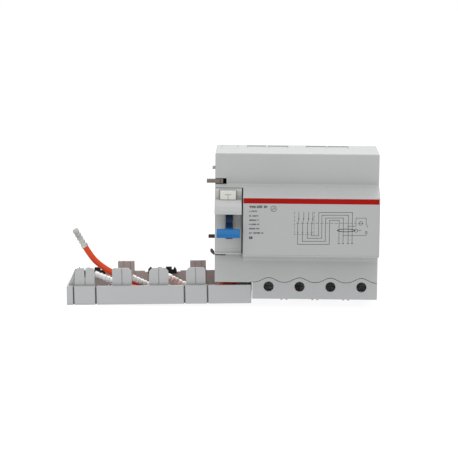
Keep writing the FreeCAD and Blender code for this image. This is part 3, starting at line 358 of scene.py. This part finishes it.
# --------------------------------------------------------------------- cords
ROUTES = {
    1: [(-32.2, -29, -37.8), (-41.3, -29, -42.0), (-49.9, -29.2, -49.0), (-59.4, -29.4, -53.4), (-72, -29, -54.7), (-86, -28.7, -54.1), (-100, -28.9, -52.5), (-113, -29, -49.6),
        (-124, -29, -45.8), (-133.6, -29, -41.0), (-141.8, -29, -35.9), (-148.5, -29, -29.5), (-153.2, -29, -21.5)],
    2: [(-32.2, -34.5, -37.8), (-41.3, -34.5, -42.0), (-49.9, -34.6, -49.0), (-59.4, -34.9, -53.3), (-71.5, -34.7, -54.6), (-85, -34.4, -54.8), (-99, -34.5, -54.2),
        (-112.2, -34.6, -52.4), (-123.2, -34.5, -49.6), (-132.5, -34.5, -46.0)],
    3: [(-32.2, -40, -37.8), (-41.3, -40, -42.0), (-49.9, -40, -49.0), (-58.0, -40, -52.9), (-67.2, -40, -54.9), (-77.6, -40, -55.2), (-88.2, -40, -54.2), (-97.4, -40, -52.0), (-105.6, -40, -48.2)],
    4: [(-32.2, -23.5, -37.8), (-41.3, -23.5, -42.0), (-49.9, -23.5, -48.8), (-57.6, -23.5, -52.8), (-64.0, -23.5, -54.5), (-70.2, -23.5, -54.8), (-76.0, -23.5, -53.5), (-81.0, -23.5, -50.8)],
}


def ferrule(k):
    """Crimped sleeve with square-edged ribs, a smooth collar over the insulation and the cut strands at its tip."""
    p, q = Vector(ROUTES[k][-1]), Vector(ROUTES[k][-2])
    d = (p - q).normalized()
    x = d.cross(Vector((0, 1, 0))).normalized()
    y = x.cross(d).normalized()
    prof = [(-1.2, 2.28, 2.0), (-1.2, 2.52, 2.0), (-0.9, 2.6, 2.0), (1.0, 2.6, 2.2), (1.3, 2.45, 2.6)]
    z = 1.6
    while z < 12.6:
        prof += [(z, 2.02, 4.0), (z + 0.15, 2.0, 4.0), (z + 1.0, 2.0, 4.0), (z + 1.2, 2.34, 4.0), (z + 2.45, 2.36, 4.0), (z + 2.6, 2.3, 4.0)]
        z += 2.75
    prof += [(13.5, 2.1, 3.0), (13.9, 1.95, 2.6), (13.9, 1.6, 2.4), (13.3, 1.55, 2.2)]
    n = 36
    verts, faces = [], []
    for t, r, e in prof:
        for i in range(n):
            a = 2 * math.pi * i / n
            ca, sa = math.cos(a), math.sin(a)
            rr = r / (abs(ca) ** e + abs(sa) ** e) ** (1 / e) * (0.94 if e > 3.5 else 1.0)
            v = p + d * t + x * (rr * ca) + y * (rr * sa)
            verts.append(tuple(v))
    for j in range(len(prof) - 1):
        for i in range(n):
            a, b = j * n + i, j * n + (i + 1) % n
            faces.append((a, b, b + n, a + n))
    faces.append(tuple(range(n))[::-1])
    faces.append(tuple(range((len(prof) - 1) * n, len(prof) * n)))
    sleeve = obj_from("ferrule_sleeve_%d" % k, verts, faces, M["tin_%d" % k], "housing")
    bv = sleeve.modifiers.new("bevel", "BEVEL")
    bv.width, bv.segments, bv.limit_method, bv.angle_limit = 0.08 * MM, 2, "ANGLE", math.radians(35)
    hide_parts("ferrule_%d" % k)
    # strands in the open tip
    verts, faces = [], []
    spots = [(0, 0)] + [(0.52 * math.cos(t * math.pi / 3), 0.52 * math.sin(t * math.pi / 3)) for t in range(6)] + \
            [(1.04 * math.cos(t * math.pi / 6 + 0.2), 1.04 * math.sin(t * math.pi / 6 + 0.2)) for t in range(12)]
    for s, (u, w) in enumerate(spots):
        top = 13.55 + 0.25 * random.random()
        base = len(verts)
        for t, r in ((12.9, 0.25), (top - 0.05, 0.25), (top, 0.17)):
            for i in range(10):
                a = 2 * math.pi * i / 10
                verts.append(tuple(p + d * t + x * (u + r * math.cos(a)) + y * (w + r * math.sin(a))))
        for j in range(2):
            for i in range(10):
                a, b = base + j * 10 + i, base + j * 10 + (i + 1) % 10
                faces.append((a, b, b + 10, a + 10))
        faces.append(tuple(range(base, base + 10))[::-1])
        faces.append(tuple(range(base + 20, base + 30)))
    strands = obj_from("strands_%d" % k, verts, faces, M["copper"], "housing", True)
    return sleeve, strands


for k, pts in ROUTES.items():
    cu = bpy.data.curves.new("cord_%d" % k, "CURVE")
    cu.dimensions = "3D"
    sp = cu.splines.new("NURBS")
    sp.points.add(len(pts) - 1)
    for a, b in zip(sp.points, pts):
        a.co = (b[0] * MM, b[1] * MM, b[2] * MM, 1)
    sp.order_u = 3
    sp.use_endpoint_u = True
    sp.resolution_u = 14
    cu.bevel_depth = 0.0022
    cu.bevel_resolution = 8
    cu.use_fill_caps = True
    cu.resolution_u = 14
    o = bpy.data.objects.new("cord_%d" % k, cu)
    bpy.context.scene.collection.objects.link(o)
    cu.materials.append(M["pvc"])
    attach(o, "housing")
    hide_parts("lead_%d" % k)
    parts = ferrule(k)
    [c * MM for c in pts[0]]

# ------------------------------------------------------------- label printing
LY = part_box("label_plate")[0].y / MM


def P(u, w):
    """Label drawing units (0.7016 mm) from the label's upper left corner to X, Z millimetres."""
    return (-38.5 + u * 0.7016, 20.6 - w * 0.7114 + u * 0.00723)


def ink_path(ink, pts, w=0.26):
    ink.path([P(*p) for p in pts], w)


ink = Ink(LY)
BX = [55.6, 60.5, 65.4, 69.6]
for j, (x0, bot, x1, top, x2) in enumerate([(BX[0], 46.7, 87.4, 22.6, 97.0), (BX[1], 43.6, 83.4, 20.3, 101.2), (BX[2], 40.6, 79.7, 17.5, 106.2), (BX[3], 38.1, 76.5, 14.8, 110.2)]):
    ink_path(ink, [(x0, 25.6), (x0, bot), (x1, bot), (x1, top), (x2, top), (x2, 45.2)], 0.32)
    # breaker contact over the riser
    ink_path(ink, [(x0 + 1.0, 14.4), (x0 + 1.0, 21.0)], 0.3)
    ink_path(ink, [(x0 + 1.0, 20.6), (x0 + 1.0, 21.2)], 0.6)
    ink_path(ink, [(x0 + 1.0, 21.2), (x0, 25.6)], 0.3)
    ink_path(ink, [(x2 - 0.9, 45.9), (x2 + 0.9, 45.9)], 0.4)
ink.dashed(P(54, 25.5), P(113.8, 25.5), 2.2, 1.2, 0.24)
ink.dashed(P(52.2, 14.2), P(52.2, 37.0), 1.5, 1.2, 0.25)
ink.dashed(P(71.9, 14.2), P(71.9, 37.0), 1.5, 1.2, 0.25)
ink.dashed(P(52.2, 36.6), P(71.9, 36.6), 1.0, 0.9, 0.25)
for x0 in BX:
    ink_path(ink, [(x0 - 0.8, 34.6), (x0 + 0.8, 34.6)], 0.22)
# sensing core round the four conductors, with its small winding
n = 26
loop = [(104.2 + 8.8 * math.cos(2 * math.pi * i / n), 32.7 + 1.35 * math.sin(2 * math.pi * i / n)) for i in range(n + 1)]
ink_path(ink, loop, 0.45)
ink_path(ink, [(95.0, 32.7), (97.0, 31.9)], 0.3)
ink_path(ink, [(95.0, 32.7), (97.0, 33.5)], 0.3)
ink.ring(P(114.0, 32.9), 1.15, 0.26)
ink_path(ink, [(116.0, 32.7), (119.0, 32.7)], 0.34)
# relay and test branch
ink_path(ink, [(105.8, 28.5), (113.8, 28.5), (113.8, 20.4), (124.0, 20.4), (124.0, 26.0)], 0.28)
ink.ring(P(118.6, 25.6), 1.25, 0.26)
ink_path(ink, [(116.4, 25.6), (121.0, 25.6)], 0.26)
ink_path(ink, [(124.0, 26.0), (125.7, 29.5)], 0.3)
ink.ring(P(124.2, 34.7), 0.7, 0.26)
ink_path(ink, [(124.2, 35.6), (124.2, 37.7), (101.4, 37.7)], 0.28)
ink.make("label_diagram", M["ink"])

# generic bars in place of the lettering
bars = Ink(LY)
rows = [(9.3, [(0, 6.8), (7.4, 13.2), (14.6, 18.4)], 1.9), (13.2, [(0, 1.0), (1.8, 8.0)], 1.0), (17.9, [(0, 2.2), (3.2, 9.4)], 1.1), (22.1, [(0, 7.4), (8.2, 10.2)], 1.05),
        (26.3, [(0, 7.2), (8.0, 10.4)], 1.05), (30.6, [(0, 6.4), (7.2, 10.6)], 1.05), (35.0, [(0, 3.2), (4.4, 11.6), (12.4, 14.6)], 1.05)]
for w, spans, hgt in rows:
    for a, b in spans:
        t = a
        while t < b - 0.3:
            e = min(b, t + 0.95)
            x0, z0 = P(6.9 + t, w + 1.0)
            x1, z1 = P(6.9 + e - 0.22, w + 1.0)
            top = z0 + hgt * (0.86 if random.random() < 0.5 else 1.0)
            cut = random.choice((0.0, 0.0, 0.32))
            bars.poly([(x0, z0 + cut * hgt), (x1, z1 + cut * hgt), (x1, top), (x0, top)])
            t += 0.95
for a in (0, 1.9):
    x0, z0 = P(6.9 + a, 41.3)
    bars.poly([(x0, z0), (x0 + 1.1, z0), (x0 + 1.1, z0 + 1.8), (x0, z0 + 1.8)])
bars.ring(P(31.2, 11.0), 1.9, 0.3, 28)
wave = [(31.2 + 1.9 * (i / 12 - 0.5) * 1.4, 11.0 + 0.9 * math.sin(2 * math.pi * i / 12)) for i in range(13)]
bars.path([P(*q) for q in wave], 0.26)
bars.make("label_bars", M["ink"])

tee = Ink(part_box("test_button")[0].y / MM, 0.03)
tee.line((-50.6, 22.1), (-46.8, 22.1), 0.4)
tee.line((-48.7, 20.3), (-48.7, 18.95), 0.4)
tee.line((-48.7, 21.6), (-48.7, 20.9), 0.4)
tee.make("button_mark", M["ink_soft"], "test_button_body")

# --------------------------------------------------------------------- stage
floor_z = cad_lo.z
bm = bmesh.new()
bmesh.ops.create_grid(bm, x_segments=1, y_segments=1, size=3.0)
me = bpy.data.meshes.new("floor")
bm.to_mesh(me)
bm.free()
floor = bpy.data.objects.new("floor", me)
floor.location = (0, 0.6, floor_z - 0.0002)
bpy.context.scene.collection.objects.link(floor)
fm, fnt, fb = new_mat("floor_paper")
fb.inputs["Base Color"].default_value = (0.16, 0.16, 0.16, 1)
fb.inputs["Emission Color"].default_value = (1, 1, 1, 1)
fb.inputs["Emission Strength"].default_value = 0.885
fb.inputs["Roughness"].default_value = 0.9
fb.inputs["Specular IOR Level"].default_value = 0.1
me.materials.append(fm)

world = bpy.data.worlds.new("studio")
bpy.context.scene.world = world
world.use_nodes = True
bg = next(n for n in world.node_tree.nodes if n.type == "BACKGROUND")
bg.inputs["Color"].default_value = (1.0, 1.0, 1.0, 1)
bg.inputs["Strength"].default_value = 1.0


def area(name, loc, target, w, h, power, col=(1, 1, 1)):
    L = bpy.data.lights.new(name, "AREA")
    L.shape = "RECTANGLE"
    L.size, L.size_y, L.energy, L.color = w, h, power, col
    o = bpy.data.objects.new(name, L)
    o.location = loc
    o.rotation_euler = (Vector(target) - Vector(loc)).to_track_quat("-Z", "Y").to_euler()
    bpy.context.scene.collection.objects.link(o)
    return o


area("back_top", (0.0, 0.75, 0.75), (0, 0, 0.03), 0.9, 0.5, 5.0)
area("front_top", (-0.05, -0.45, 0.85), (0, -0.05, 0.0), 0.9, 0.4, 2.2)
bpy.context.scene.view_settings.view_transform = "Standard"
